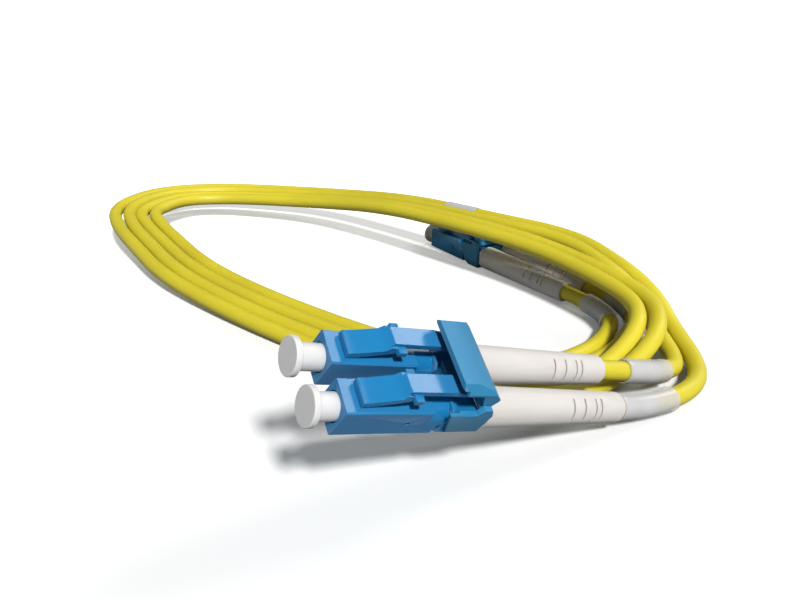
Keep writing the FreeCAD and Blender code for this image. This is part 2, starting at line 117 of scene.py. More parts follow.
# Label on the upper strand: distance behind end a's boot and length
STRAND_LABEL = (98.4, 9.5)

# Metres: the sleeve's wall, the label's play on its leg, its start in the sleeve and its length
SLEEVE_WALL = 0.00027
LABEL_PLAY = 0.00003
LABEL_START = 0.0008
LABEL_LENGTH = 0.007

# Metres between the places at which a sleeve follows its leg
FOLLOW_STEP = 0.0004

# Metres: rounding of the boots' edges
BOOT_ROUND = 0.00006

# Degrees: edges sharper than the first are rounded, the second stay sharp in shading
ROUND_ABOVE = 35.0
SHARP_ABOVE = 50

# Way towards the soft main light, from the shadows in the picture
KEY_WAY = (0.239, -0.677, 0.697)

# Way towards the small back light, which the latches' flat tops mirror to the camera
BACK_WAY = (0.66, 0.44, 0.61)

LAMP_COLOUR = (1.0, 0.985, 0.965)

# Floor colours: in the light that it sends back, and as the camera sees it
FLOOR_THROWN = (0.24, 0.24, 0.25, 1.0)
FLOOR_SEEN = (0.91, 0.93, 0.94, 1.0)

# Painted light on the floor, which lightens the cast shadows towards the back: metres along Y over
# which it grows, and its full strength
PAINTED_LIGHT_REACH = (-0.02, 0.07)
PAINTED_LIGHT_FULL = 0.45

# The sky: heights over which the white horizon fades, the horizon's strength and the sky's colour
HORIZON_REACH = (0.03, 0.15)
HORIZON_STRENGTH = 1.3
SKY_COLOUR = (0.90, 0.95, 1.0, 1.0)
WHITE = (1.0, 1.0, 1.0, 1.0)


# Sizes and colours that a user would change
class PatchCordSizes(bpy.types.PropertyGroup):
    leg_diameter: bpy.props.FloatProperty(
        name="Leg diameter", description="Outside diameter of each jacketed leg",
        default=0.003, min=0.001, max=0.006, unit="LENGTH")
    leg_spacing: bpy.props.FloatProperty(
        name="Leg spacing", description="Distance between the middles of the two legs in the coil",
        default=0.0033, min=0.002, max=0.01, unit="LENGTH")
    sleeve_radius: bpy.props.FloatProperty(
        name="Sleeve radius", description="Outside radius of the clear sleeves",
        default=0.00195, min=0.001, max=0.005, unit="LENGTH")
    label_radius: bpy.props.FloatProperty(
        name="Label radius", description="Outside radius of the rolled labels",
        default=0.00166, min=0.001, max=0.005, unit="LENGTH")
    edge_round: bpy.props.FloatProperty(
        name="Edge round", description="Rounding of the moulded edges",
        default=0.0001, min=0.00002, max=0.0005, unit="LENGTH")
    spring_turns: bpy.props.FloatProperty(
        name="Spring turns", description="Turns of each float spring", default=5.5, min=1.0, max=20.0)
    spring_radius: bpy.props.FloatProperty(
        name="Spring radius", description="Radius to the middle of the spring's wire",
        default=0.0013, min=0.0005, max=0.003, unit="LENGTH")
    spring_wire: bpy.props.FloatProperty(
        name="Spring wire radius", description="Radius of the spring's wire",
        default=0.00015, min=0.00005, max=0.0005, unit="LENGTH")
    cap_round: bpy.props.FloatProperty(
        name="Cap rim round", description="Rounding of the dust cap rims",
        default=0.00012, min=0.00002, max=0.0004, unit="LENGTH")


class PatchCordColours(bpy.types.PropertyGroup):
    jacket: bpy.props.FloatVectorProperty(
        name="Jacket", description="Colour of the cord jacket", subtype="COLOR",
        size=3, min=0.0, max=1.0, default=(0.60, 0.515, 0.024))
    housing: bpy.props.FloatVectorProperty(
        name="Housing", description="Colour of the plug housings and latches", subtype="COLOR",
        size=3, min=0.0, max=1.0, default=(0.010, 0.180, 0.415))
    clip: bpy.props.FloatVectorProperty(
        name="Clip", description="Colour of the duplex clip and trigger", subtype="COLOR",
        size=3, min=0.0, max=1.0, default=(0.022, 0.205, 0.395))
    boot: bpy.props.FloatVectorProperty(
        name="Boot", description="Colour of the boots", subtype="COLOR",
        size=3, min=0.0, max=1.0, default=(0.575, 0.55, 0.525))
    cap: bpy.props.FloatVectorProperty(
        name="Dust cap", description="Colour of the dust caps", subtype="COLOR",
        size=3, min=0.0, max=1.0, default=(0.66, 0.66, 0.665))
    label: bpy.props.FloatVectorProperty(
        name="Label", description="Colour of the rolled labels", subtype="COLOR",
        size=3, min=0.0, max=1.0, default=(0.50, 0.50, 0.52))


class PatchCordStage(bpy.types.PropertyGroup):
    camera_height: bpy.props.FloatProperty(
        name="Camera height", description="Height of the camera above the table",
        default=0.0544, min=0.01, max=1.0, unit="LENGTH")
    camera_pitch: bpy.props.FloatProperty(
        name="Camera pitch", description="How far the camera looks down",
        default=math.radians(20.8), min=0.0, max=1.5, subtype="ANGLE")
    camera_roll: bpy.props.FloatProperty(
        name="Camera roll", description="Roll of the camera about its view axis",
        default=math.radians(-1.8), min=-0.5, max=0.5, subtype="ANGLE")
    lens: bpy.props.FloatProperty(
        name="Lens", description="Focal length in millimetres on a 36 mm sensor",
        default=33.75, min=10.0, max=200.0)
    floor_size: bpy.props.FloatProperty(
        name="Floor size", description="Side of the pale floor",
        default=40.0, min=0.5, max=100.0, unit="LENGTH")
    key_power: bpy.props.FloatProperty(
        name="Key light", description="Strength of the soft main light",
        default=4.0, min=0.0, max=50.0)
    key_spread: bpy.props.FloatProperty(
        name="Key spread", description="How wide the main light looks, which softens the shadows",
        default=math.radians(8.0), min=0.0, max=1.0, subtype="ANGLE")
    back_power: bpy.props.FloatProperty(
        name="Back light", description="Strength of the light behind the object on the right",
        default=0.7, min=0.0, max=50.0)
    back_spread: bpy.props.FloatProperty(
        name="Back spread", description="How wide the back light looks",
        default=math.radians(20.0), min=0.0, max=1.0, subtype="ANGLE")
    sky_strength: bpy.props.FloatProperty(
        name="Studio air", description="Strength of the light from all round",
        default=0.16, min=0.0, max=4.0)


# Shader helpers
def new_material(name):
    material = bpy.data.materials.new(name)
    material.use_nodes = True
    nodes = material.node_tree.nodes
    shader = next(n for n in nodes if n.type == "BSDF_PRINCIPLED")
    return material, material.node_tree, shader


def new_group(name, inputs, outputs):
    group = bpy.data.node_groups.new(name, "ShaderNodeTree")
    for label, kind, default in inputs:
        socket = group.interface.new_socket(name=label, in_out="INPUT", socket_type=kind)
        socket.default_value = default
    for label, kind in outputs:
        group.interface.new_socket(name=label, in_out="OUTPUT", socket_type=kind)
    entry = group.nodes.new("NodeGroupInput")
    leave = group.nodes.new("NodeGroupOutput")
    return group, entry, leave


def grain_group():
    # fine moulding grain as a height, on the piece's own coordinates
    name = "moulding_grain"
    if name in bpy.data.node_groups:
        return bpy.data.node_groups[name]
    group, entry, leave = new_group(
        name,
        [("Grain Size", "NodeSocketFloat", 4000.0), ("Ripple Size", "NodeSocketFloat", 300.0),
         ("Ripple Share", "NodeSocketFloat", 0.3)],
        [("Height", "NodeSocketFloat")])
    place = group.nodes.new("ShaderNodeTexCoord")
    fine = group.nodes.new("ShaderNodeTexNoise")
    fine.inputs["Detail"].default_value = 3.0
    broad = group.nodes.new("ShaderNodeTexNoise")
    broad.inputs["Detail"].default_value = 1.0
    mix = group.nodes.new("ShaderNodeMix")
    link = group.links.new
    link(place.outputs["Object"], fine.inputs["Vector"])
    link(place.outputs["Object"], broad.inputs["Vector"])
    link(entry.outputs["Grain Size"], fine.inputs["Scale"])
    link(entry.outputs["Ripple Size"], broad.inputs["Scale"])
    link(entry.outputs["Ripple Share"], mix.inputs["Factor"])
    link(fine.outputs["Fac"], mix.inputs["A"])
    link(broad.outputs["Fac"], mix.inputs["B"])
    link(mix.outputs["Result"], leave.inputs["Height"])
    return group


def tone_group():
    # slight change of colour over the surface, with paler worn edges
    name = "moulded_tone"
    if name in bpy.data.node_groups:
        return bpy.data.node_groups[name]
    group, entry, leave = new_group(
        name,
        [("Base", "NodeSocketColor", (0.5, 0.5, 0.5, 1.0)), ("Cloud Size", "NodeSocketFloat", 60.0),
         ("Cloud Share", "NodeSocketFloat", 0.12), ("Edge Share", "NodeSocketFloat", 0.15),
         ("Rough Low", "NodeSocketFloat", 0.3), ("Rough High", "NodeSocketFloat", 0.45)],
        [("Color", "NodeSocketColor"), ("Roughness", "NodeSocketFloat")])
    place = group.nodes.new("ShaderNodeTexCoord")
    cloud = group.nodes.new("ShaderNodeTexNoise")
    cloud.inputs["Detail"].default_value = 4.0
    spread = group.nodes.new("ShaderNodeMapRange")
    spread.inputs["From Min"].default_value = 0.3
    spread.inputs["From Max"].default_value = 0.7
    spread.inputs["To Min"].default_value = 0.6
    spread.inputs["To Max"].default_value = 1.4
    tint = group.nodes.new("ShaderNodeMix")
    tint.data_type = "RGBA"
    tint.blend_type = "MULTIPLY"
    shape = group.nodes.new("ShaderNodeNewGeometry")
    edge = group.nodes.new("ShaderNodeMapRange")
    edge.inputs["From Min"].default_value = 0.52
    edge.inputs["From Max"].default_value = 0.62
    share = group.nodes.new("ShaderNodeMath")
    share.operation = "MULTIPLY"
    pale = group.nodes.new("ShaderNodeMix")
    pale.data_type = "RGBA"
    pale.blend_type = "SCREEN"
    pale.inputs["B"].default_value = (0.35, 0.4, 0.45, 1.0)
    rough = group.nodes.new("ShaderNodeMapRange")
    link = group.links.new
    link(place.outputs["Object"], cloud.inputs["Vector"])
    link(entry.outputs["Cloud Size"], cloud.inputs["Scale"])
    link(cloud.outputs["Fac"], spread.inputs["Value"])
    link(entry.outputs["Cloud Share"], tint.inputs["Factor"])
    link(entry.outputs["Base"], tint.inputs["A"])
    link(spread.outputs["Result"], tint.inputs["B"])
    link(shape.outputs["Pointiness"], edge.inputs["Value"])
    link(edge.outputs["Result"], share.inputs[0])
    link(entry.outputs["Edge Share"], share.inputs[1])
    link(share.outputs["Value"], pale.inputs["Factor"])
    link(tint.outputs["Result"], pale.inputs["A"])
    link(pale.outputs["Result"], leave.inputs["Color"])
    link(cloud.outputs["Fac"], rough.inputs["Value"])
    link(entry.outputs["Rough Low"], rough.inputs["To Min"])
    link(entry.outputs["Rough High"], rough.inputs["To Max"])
    link(rough.outputs["Result"], leave.inputs["Roughness"])
    return group


def moulded(name, colour, rough, grain=(4000.0, 300.0, 0.3), bump=0.05, clouds=0.12, edges=0.12,
            coat=0.0, scatter=0.0, metallic=0.0, gloss=0.5):
    # grain is the fine size, the ripple size and the ripple's share
    if name in bpy.data.materials:
        return bpy.data.materials[name]
    material, tree, shader = new_material(name)
    tone = tree.nodes.new("ShaderNodeGroup")
    tone.node_tree = tone_group()
    tone.inputs["Base"].default_value = (*colour, 1.0)
    tone.inputs["Cloud Share"].default_value = clouds
    tone.inputs["Edge Share"].default_value = edges
    tone.inputs["Rough Low"].default_value = rough[0]
    tone.inputs["Rough High"].default_value = rough[1]
    height = tree.nodes.new("ShaderNodeGroup")
    height.node_tree = grain_group()
    height.inputs["Grain Size"].default_value = grain[0]
    height.inputs["Ripple Size"].default_value = grain[1]
    height.inputs["Ripple Share"].default_value = grain[2]
    relief = tree.nodes.new("ShaderNodeBump")
    relief.inputs["Strength"].default_value = bump
    relief.inputs["Distance"].default_value = 0.0001
    tree.links.new(tone.outputs["Color"], shader.inputs["Base Color"])
    tree.links.new(tone.outputs["Roughness"], shader.inputs["Roughness"])
    tree.links.new(height.outputs["Height"], relief.inputs["Height"])
    tree.links.new(relief.outputs["Normal"], shader.inputs["Normal"])
    shader.inputs["Coat Weight"].default_value = coat
    shader.inputs["Coat Roughness"].default_value = 0.12
    shader.inputs["Specular IOR Level"].default_value = gloss
    shader.inputs["Metallic"].default_value = metallic
    shader.inputs["Subsurface Weight"].default_value = scatter
    shader.inputs["Subsurface Radius"].default_value = (0.002, 0.0015, 0.001)
    shader.inputs["Subsurface Scale"].default_value = 0.5
    return material


def clear_sleeve_material():
    name = "clear_sleeve_finish"
    if name in bpy.data.materials:
        return bpy.data.materials[name]
    material, tree, shader = new_material(name)
    cloud = tree.nodes.new("ShaderNodeTexNoise")
    cloud.inputs["Scale"].default_value = 260.0
    place = tree.nodes.new("ShaderNodeTexCoord")
    veil = tree.nodes.new("ShaderNodeMapRange")
    veil.inputs["To Min"].default_value = 0.34
    veil.inputs["To Max"].default_value = 0.52
    relief = tree.nodes.new("ShaderNodeBump")
    relief.inputs["Strength"].default_value = 0.12
    relief.inputs["Distance"].default_value = 0.0001
    tree.links.new(place.outputs["Object"], cloud.inputs["Vector"])
    tree.links.new(cloud.outputs["Fac"], veil.inputs["Value"])
    tree.links.new(veil.outputs["Result"], shader.inputs["Alpha"])
    tree.links.new(cloud.outputs["Fac"], relief.inputs["Height"])
    tree.links.new(relief.outputs["Normal"], shader.inputs["Normal"])
    shader.inputs["Base Color"].default_value = (0.70, 0.70, 0.70, 1.0)
    shader.inputs["Roughness"].default_value = 0.18
    return material


# Each finish: its material's name, its colour or the setting that holds it, low and high
# roughness, and what differs from the defaults of moulded()
FINISHES = {
    "jacket": ("jacket_yellow_finish", "jacket", (0.42, 0.55),
               {"grain": (2500.0, 420.0, 0.5), "bump": 0.10, "clouds": 0.14, "edges": 0.0,
                "scatter": 0.08}),
    "housing": ("housing_blue_finish", "housing", (0.22, 0.34),
                {"grain": (5200.0, 600.0, 0.3), "bump": 0.10, "clouds": 0.14, "edges": 0.18,
                 "coat": 0.15, "gloss": 0.3}),
    "clip": ("clip_blue_finish", "clip", (0.42, 0.58),
             {"grain": (7000.0, 900.0, 0.2), "bump": 0.22, "edges": 0.16, "gloss": 0.35}),
    "boot": ("boot_white_finish", "boot", (0.48, 0.62),
             {"grain": (5200.0, 500.0, 0.3), "bump": 0.14, "clouds": 0.08, "edges": 0.05,
              "scatter": 0.25, "gloss": 0.3}),
    "cap": ("cap_white_finish", "cap", (0.38, 0.50),
            {"grain": (5200.0, 500.0, 0.3), "bump": 0.06, "clouds": 0.05, "edges": 0.05,
             "scatter": 0.3, "gloss": 0.35}),
    "label": ("label_grey_finish", "label", (0.65, 0.8),
              {"grain": (3500.0, 400.0, 0.2), "bump": 0.10, "clouds": 0.30, "edges": 0.0}),
    "ceramic": ("zirconia_white_finish", (0.92, 0.91, 0.87), (0.08, 0.14),
                {"bump": 0.01, "clouds": 0.03, "edges": 0.0, "coat": 0.4}),
    "nickel": ("nickel_plate_finish", (0.62, 0.60, 0.55), (0.22, 0.34),
               {"clouds": 0.10, "metallic": 1.0}),
    "wire": ("spring_wire_finish", (0.58, 0.58, 0.58), (0.25, 0.35),
             {"bump": 0.04, "clouds": 0.08, "metallic": 1.0}),
    "rear": ("rear_body_white_finish", (0.80, 0.80, 0.77), (0.35, 0.5),
             {"bump": 0.06, "clouds": 0.06}),
}


def finish(kind):
    name, colour, rough, extras = FINISHES[kind]
    if isinstance(colour, str):
        colour = getattr(bpy.context.scene.patch_cord_colours, colour)
    return moulded(name, colour, rough, **extras)


# Frame helpers
def on_model(point):
    return (Vector(point) + TABLE_TO_MODEL) * MM


def end_matrix(end):
    # from an end's own axes to the table, in millimetres
    spot, (yaw, pitch, roll) = STANCE[end]
    angles = (math.radians(roll), math.radians(pitch), math.radians(yaw))
    return Matrix.Translation(spot) @ Euler(angles, "XYZ").to_matrix().to_4x4()


def plug_side(plug):
    # how far a plug lies from its end's middle
    return -PLUG_PITCH / 2 if plug == 1 else PLUG_PITCH / 2


def plug_exit(end, plug):
    # where the leg leaves the boot, and which way it leaves
    matrix = end_matrix(end)
    way = (matrix.to_3x3() @ Vector((1.0, 0.0, 0.0))).normalized()
    return matrix @ Vector((EXIT_X, plug_side(plug), 0.0)), way


def heading(degrees, climb):
    # way with a compass angle and a climb, both in degrees
    h = math.radians(degrees)
    c = math.radians(climb)
    return Vector((math.cos(h) * math.cos(c), math.sin(h) * math.cos(c), math.sin(c)))


def beside(points, offset):
    # the same route moved sideways, to the right of its way
    out = []
    for k in range(1, len(points) - 1):
        before = (points[k] - points[k - 1]).normalized()
        after = (points[k + 1] - points[k]).normalized()
        way = (before + after).normalized()
        side = Vector((way.y, -way.x, 0.0)).normalized()
        out.append(points[k] + side * offset / max(way.dot(after), 0.8))
    return out


def leg_route(leg, spacing):
    # points of one leg's spline from end a round the coil to end b
    offset = spacing / 2 if leg == 1 else -spacing / 2
    start, start_turn, start_climb = COIL_START
    stop, stop_turn, stop_climb = COIL_END
    t0 = heading(start_turn, start_climb)
    t1 = heading(stop_turn, stop_climb)
    p0 = start + Vector((t0.y, -t0.x, 0.0)).normalized() * offset
    p1 = stop + Vector((t1.y, -t1.x, 0.0)).normalized() * offset
    spot_a, way_a = plug_exit("a", leg)
    spot_b, way_b = plug_exit("b", 3 - leg)
    lead = [spot_a, spot_a + way_a * LEAD_FIRST_RUN, LEAD_BEND[leg], p0 - t0 * LEAD_LAST_RUN[leg]]
    middle = [start] + [Vector(p) for p in COIL_ROUTE] + [stop]
    tail = [p1 + t1 * TAIL_FIRST_RUN[leg], spot_b + way_b * TAIL_LAST_RUN[leg], spot_b]
    return [on_model(p) for p in lead + beside(middle, offset) + tail]


def link_object(obj):
    bpy.context.scene.collection.objects.link(obj)
    return obj


def spline_curve(name, points, radius):
    curve = bpy.data.curves.new(name, "CURVE")
    curve.dimensions = "3D"
    spline = curve.splines.new("NURBS")
    spline.points.add(len(points) - 1)
    for point, co in zip(spline.points, points):
        point.co = (*co, 1.0)
    spline.order_u = 3
    spline.use_endpoint_u = True
    curve.resolution_u = 10
    curve.bevel_depth = radius
    curve.bevel_resolution = 6
    curve.use_fill_caps = True
    return link_object(bpy.data.objects.new(name, curve))


def curve_points(points):
    # places along the route's own spline, as Blender gives them
    obj = spline_curve("route_reader", points, 0.0)
    mesh = bpy.data.meshes.new_from_object(obj)
    out = [v.co.copy() for v in mesh.vertices]
    curve = obj.data
    bpy.data.objects.remove(obj)
    bpy.data.curves.remove(curve)
    bpy.data.meshes.remove(mesh)
    return out


def stretch(points, start, length):
    # evenly spaced places on a line, from a distance along it and for a length
    marks = [0.0]
    for a, b in zip(points[:-1], points[1:]):
        marks.append(marks[-1] + (b - a).length)
    count = max(2, round(length / FOLLOW_STEP))
    out = []
    k = 0
    for i in range(count + 1):
        want = min(start + length * i / count, marks[-1])
        while k < len(marks) - 2 and marks[k + 1] < want:
            k += 1
        share = (want - marks[k]) / (marks[k + 1] - marks[k])
        out.append(points[k].lerp(points[k + 1], share))
    return out


def length_of(points):
    return sum((b - a).length for a, b in zip(points[:-1], points[1:]))


def tube_mesh(name, line, outer, inner, sides=32):
    # open-ended wall round a line, closed at both ends
    mesh = bpy.data.meshes.new(name)
    bm = bmesh.new()
    rows = []
    lip = (outer - inner) * 0.35
    lay = [(0, inner), (0, outer - lip), (1, outer)]
    lay += [(k, outer) for k in range(2, len(line) - 2)]
    lay += [(len(line) - 2, outer), (len(line) - 1, outer - lip), (len(line) - 1, inner)]
    up = Vector((0, 0, 1))

    def ring(k, radius):
        way = (line[min(k + 1, len(line) - 1)] - line[max(k - 1, 0)]).normalized()
        side = way.cross(up).normalized()
        top = side.cross(way).normalized()
        return [bm.verts.new(line[k] + (side * math.cos(a) + top * math.sin(a)) * radius)
                for a in [2 * math.pi * j / sides for j in range(sides)]]

    for k, radius in lay:
        rows.append(ring(k, radius))
    for k in range(len(line) - 2, 0, -1):
        rows.append(ring(k, inner))
    for row, ahead in zip(rows, rows[1:] + rows[:1]):
        for j in range(sides):
            n = (j + 1) % sides
            bm.faces.new((row[j], row[n], ahead[n], ahead[j]))
    bmesh.ops.recalc_face_normals(bm, faces=bm.faces)
    for face in bm.faces:
        face.smooth = True
    bm.to_mesh(mesh)
    bm.free()
    mesh.set_sharp_from_angle(angle=math.radians(SHARP_ABOVE))
    return mesh


def rounded_copy(node, width):
    # copy of a CAD node with its moulded edges rounded
    mesh = frame["nodes"][node].data.copy()
    mesh.name = node + "_rounded"
    bm = bmesh.new()
    bm.from_mesh(mesh)
    bmesh.ops.remove_doubles(bm, verts=bm.verts, dist=1e-6)
    bmesh.ops.dissolve_limit(bm, angle_limit=math.radians(0.5), verts=bm.verts, edges=bm.edges)
    bm.to_mesh(mesh)
    bm.free()
    obj = link_object(bpy.data.objects.new(node + "_shape", mesh))
    bevel = obj.modifiers.new("round", "BEVEL")
    bevel.width = width
    bevel.segments = 3
    bevel.limit_method = "ANGLE"
    bevel.angle_limit = math.radians(ROUND_ABOVE)
    bevel.use_clamp_overlap = True
    mesh.shade_smooth()
    even = obj.modifiers.new("even", "WEIGHTED_NORMAL")
    even.keep_sharp = True
    depsgraph = bpy.context.evaluated_depsgraph_get()
    done = bpy.data.meshes.new_from_object(obj.evaluated_get(depsgraph))
    obj.modifiers.clear()
    obj.data = done
    return obj


def dress(obj, material):
    obj.data.materials.clear()
    obj.data.materials.append(material)


def body_of(node):
    return frame["nodes"][node]["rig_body"]


def recolour(node, material):
    for slot in frame["nodes"][node].material_slots:
        slot.material = material


class PATCHCORD_OT_camera(bpy.types.Operator):
    """Set the camera at the photograph's place"""
    bl_idname = "patchcord.camera"
    bl_label = "Camera"

    def execute(self, context):
        stage = context.scene.patch_cord_stage
        data = bpy.data.cameras.new("photo_camera")
        data.lens = stage.lens
        data.sensor_width = 36.0
        data.clip_start = 0.005
        data.clip_end = 50.0
        obj = link_object(bpy.data.objects.new("photo_camera", data))
        pitch = stage.camera_pitch
        ahead = Vector((0.0, math.cos(pitch), -math.sin(pitch)))
        c = math.cos(stage.camera_roll)
        s = math.sin(stage.camera_roll)
        right = Vector((1.0, 0.0, 0.0))
        down = Vector((0.0, -math.sin(pitch), -math.cos(pitch)))
        across = right * c + down * s
        low = down * c - right * s
        turn = Matrix((across, -low, -ahead)).transposed().to_4x4()
        spot = (TABLE_TO_MODEL * MM) + Vector((0.0, 0.0, stage.camera_height))
        obj.matrix_world = Matrix.Translation(spot) @ turn
        context.scene.camera = obj
        return {"FINISHED"}


class PATCHCORD_OT_legs(bpy.types.Operator):
    """Lay the two jacketed legs from end a round the coil to end b"""
    bl_idname = "patchcord.legs"
    bl_label = "Cord legs"

    def execute(self, context):
        sizes = context.scene.patch_cord_sizes
        for leg in (1, 2):
            points = leg_route(leg, sizes.leg_spacing / MM)
            obj = spline_curve("cord_leg_%d" % leg, points, sizes.leg_diameter / 2)
            dress(obj, finish("jacket"))
            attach(obj, "cord")
            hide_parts(*["leg%d_%s" % (leg, part) for part in ("lead_a", "coil", "lead_b")])
        return {"FINISHED"}


def put_on_leg(name, node, line, outer, inner, material):
    # a wall round a stretch of a leg, in place of its CAD node
    obj = link_object(bpy.data.objects.new(name, tube_mesh(name, line, outer, inner)))
    dress(obj, material)
    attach(obj, "cord")
    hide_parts(node)
    return obj


class PATCHCORD_OT_sleeves(bpy.types.Operator):
    """Put the clear sleeves, their rolled labels and the strand's label on the legs"""
    bl_idname = "patchcord.sleeves"
    bl_label = "Sleeves and labels"

    def execute(self, context):
        sizes = context.scene.patch_cord_sizes
        label_bore = sizes.leg_diameter / 2 + LABEL_PLAY
        for leg in (1, 2):
            line = curve_points(leg_route(leg, sizes.leg_spacing / MM))
            whole = length_of(line)
            print("leg %d is %.3f m long" % (leg, whole))
            for end, plug in (("a", leg), ("b", 3 - leg)):
                name = "%s%d" % (end, plug)
                start, length = (v * MM for v in SLEEVES[name])
                if end == "b":
                    start = whole - start - length
                put_on_leg(
                    name + "_clear_sleeve", name + "_sleeve", stretch(line, start, length),
                    sizes.sleeve_radius, sizes.sleeve_radius - SLEEVE_WALL,
                    clear_sleeve_material())
                put_on_leg(
                    name + "_rolled_label", name + "_label",
                    stretch(line, start + LABEL_START, LABEL_LENGTH),
                    sizes.label_radius, label_bore, finish("label"))
            if leg == 1:
                start, length = (v * MM for v in STRAND_LABEL)
                put_on_leg(
                    "strand_rolled_label", "strand_label", stretch(line, start, length),
                    sizes.label_radius, label_bore, finish("label"))
        return {"FINISHED"}


def put_rounded(node, width, kind):
    obj = rounded_copy(node, width)
    dress(obj, finish(kind))
    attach(obj, body_of(node))
    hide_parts(node)


class PATCHCORD_OT_shells(bpy.types.Operator):
    """Round and colour the housings, latches, clips and triggers"""
    bl_idname = "patchcord.shells"
    bl_label = "Housings and clips"

    def execute(self, context):
        sizes = context.scene.patch_cord_sizes
        jobs = []
        for end in ("a", "b"):
            jobs.append((end + "_clip", "clip", "clip_blue"))
            jobs.append((end + "_trigger", "clip", "clip_blue"))
            for plug in ("1", "2"):
                jobs.append((end + plug + "_housing", "housing", "housing_blue"))
                jobs.append((end + plug + "_latch", "housing", "housing_blue"))
        for node, kind, slot_name in jobs:
            put_rounded(node, sizes.edge_round, kind)
        return {"FINISHED"}


class PATCHCORD_OT_boots(bpy.types.Operator):
    """Finish the boots and dust caps"""
    bl_idname = "patchcord.boots"
    bl_label = "Boots and caps"

    def execute(self, context):
        sizes = context.scene.patch_cord_sizes
        for end in ("a", "b"):
            for plug in ("1", "2"):
                put_rounded(end + plug + "_boot", BOOT_ROUND, "boot")
                put_rounded(end + plug + "_dust_cap", sizes.cap_round, "cap")
        return {"FINISHED"}


def spring_tree():
    # round wire wound in a helix along Z
    name = "float_spring"
    if name in bpy.data.node_groups:
        return bpy.data.node_groups[name]
    tree = bpy.data.node_groups.new(name, "GeometryNodeTree")
    for label, kind in (("Turns", "NodeSocketFloat"), ("Mean Radius", "NodeSocketFloat"),
                        ("Wire Radius", "NodeSocketFloat"), ("Length", "NodeSocketFloat"),
                        ("Finish", "NodeSocketMaterial")):
        tree.interface.new_socket(name=label, in_out="INPUT", socket_type=kind)
    tree.interface.new_socket(name="Geometry", in_out="OUTPUT", socket_type="NodeSocketGeometry")
    entry = tree.nodes.new("NodeGroupInput")
    leave = tree.nodes.new("NodeGroupOutput")
    helix = tree.nodes.new("GeometryNodeCurveSpiral")
    helix.inputs["Resolution"].default_value = 28
    wire = tree.nodes.new("GeometryNodeCurvePrimitiveCircle")
    wire.inputs["Resolution"].default_value = 12
    sweep = tree.nodes.new("GeometryNodeCurveToMesh")
    sweep.inputs["Fill Caps"].default_value = True
    real = tree.nodes.new("GeometryNodeRealizeInstances")
    paint = tree.nodes.new("GeometryNodeSetMaterial")
    link = tree.links.new
    link(entry.outputs["Turns"], helix.inputs["Rotations"])
    link(entry.outputs["Mean Radius"], helix.inputs["Start Radius"])
    link(entry.outputs["Mean Radius"], helix.inputs["End Radius"])
    link(entry.outputs["Length"], helix.inputs["Height"])
    link(entry.outputs["Wire Radius"], wire.inputs["Radius"])
    link(helix.outputs["Curve"], sweep.inputs["Curve"])
    link(wire.outputs["Curve"], sweep.inputs["Profile Curve"])
    link(sweep.outputs["Mesh"], real.inputs["Geometry"])
    link(real.outputs["Geometry"], paint.inputs["Geometry"])
    link(entry.outputs["Finish"], paint.inputs["Material"])
    link(paint.outputs["Geometry"], leave.inputs["Geometry"])
    return tree


def plug_matrix(end, plug):
    # from a plug's own axes, in metres, to the model
    matrix = end_matrix(end) @ Matrix.Translation(Vector((0.0, plug_side(plug), 0.0)))
    matrix = Matrix.Translation(TABLE_TO_MODEL) @ matrix
    return Matrix.Scale(MM, 4) @ matrix @ Matrix.Scale(1 / MM, 4)


class PATCHCORD_OT_springs(bpy.types.Operator):
    """Wind the spring that pushes each ferrule forward"""
    bl_idname = "patchcord.springs"
    bl_label = "Float springs"

    def execute(self, context):
        sizes = context.scene.patch_cord_sizes
        tree = spring_tree()
        for end in ("a", "b"):
            for plug in (1, 2):
                node = "%s%d_spring" % (end, plug)
                matrix = plug_matrix(end, plug)
                back = matrix.inverted()
                along = [(back @ v.co).x for v in frame["nodes"][node].data.vertices]
                first = min(along) + sizes.spring_wire
                length = max(along) - sizes.spring_wire - first
                empty = bpy.data.meshes.new("spring_holder")
                holder = link_object(bpy.data.objects.new("spring_holder", empty))
                wind = holder.modifiers.new("wind", "NODES")
                wind.node_group = tree
                values = {"Turns": sizes.spring_turns, "Mean Radius": sizes.spring_radius,
                          "Wire Radius": sizes.spring_wire, "Length": length, "Finish": finish("wire")}
                for item in tree.interface.items_tree:
                    if item.in_out == "INPUT":
                        wind[item.identifier] = values[item.name]
                depsgraph = context.evaluated_depsgraph_get()
                mesh = bpy.data.meshes.new_from_object(holder.evaluated_get(depsgraph))
                bpy.data.objects.remove(holder)
                mesh.transform(matrix @ Matrix.Translation(Vector((first, 0.0, 0.0))) @
                               Matrix.Rotation(math.radians(90.0), 4, "Y"))
                bm = bmesh.new()
                bm.from_mesh(mesh)
                bmesh.ops.recalc_face_normals(bm, faces=bm.faces)
                bm.to_mesh(mesh)
                bm.free()
                mesh.shade_smooth()
                mesh.set_sharp_from_angle(angle=math.radians(SHARP_ABOVE))
                obj = link_object(bpy.data.objects.new(node + "_wire", mesh))
                dress(obj, finish("wire"))
                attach(obj, body_of(node))
                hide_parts(node)
        return {"FINISHED"}


class PATCHCORD_OT_inner_parts(bpy.types.Operator):
    """Finish the pieces inside the plugs"""
    bl_idname = "patchcord.inner_parts"
    bl_label = "Inner pieces"

    def execute(self, context):
        kinds = {"ferrule": "ceramic", "carrier": "nickel", "rear_body": "rear",
                 "crimp_sleeve": "nickel", "cord_end": "jacket"}
        for end in ("a", "b"):
            for plug in ("1", "2"):
                for piece, kind in kinds.items():
                    recolour(end + plug + "_" + piece, finish(kind))
        return {"FINISHED"}


def distant_light(name, way, strength, spread):
    # broad, distant, slightly warm lamp
    data = bpy.data.lights.new(name, "SUN")
    data.energy = strength
    data.angle = spread
    data.color = LAMP_COLOUR
    obj = link_object(bpy.data.objects.new(name, data))
    obj.rotation_euler = Vector(way).to_track_quat("Z", "Y").to_euler()


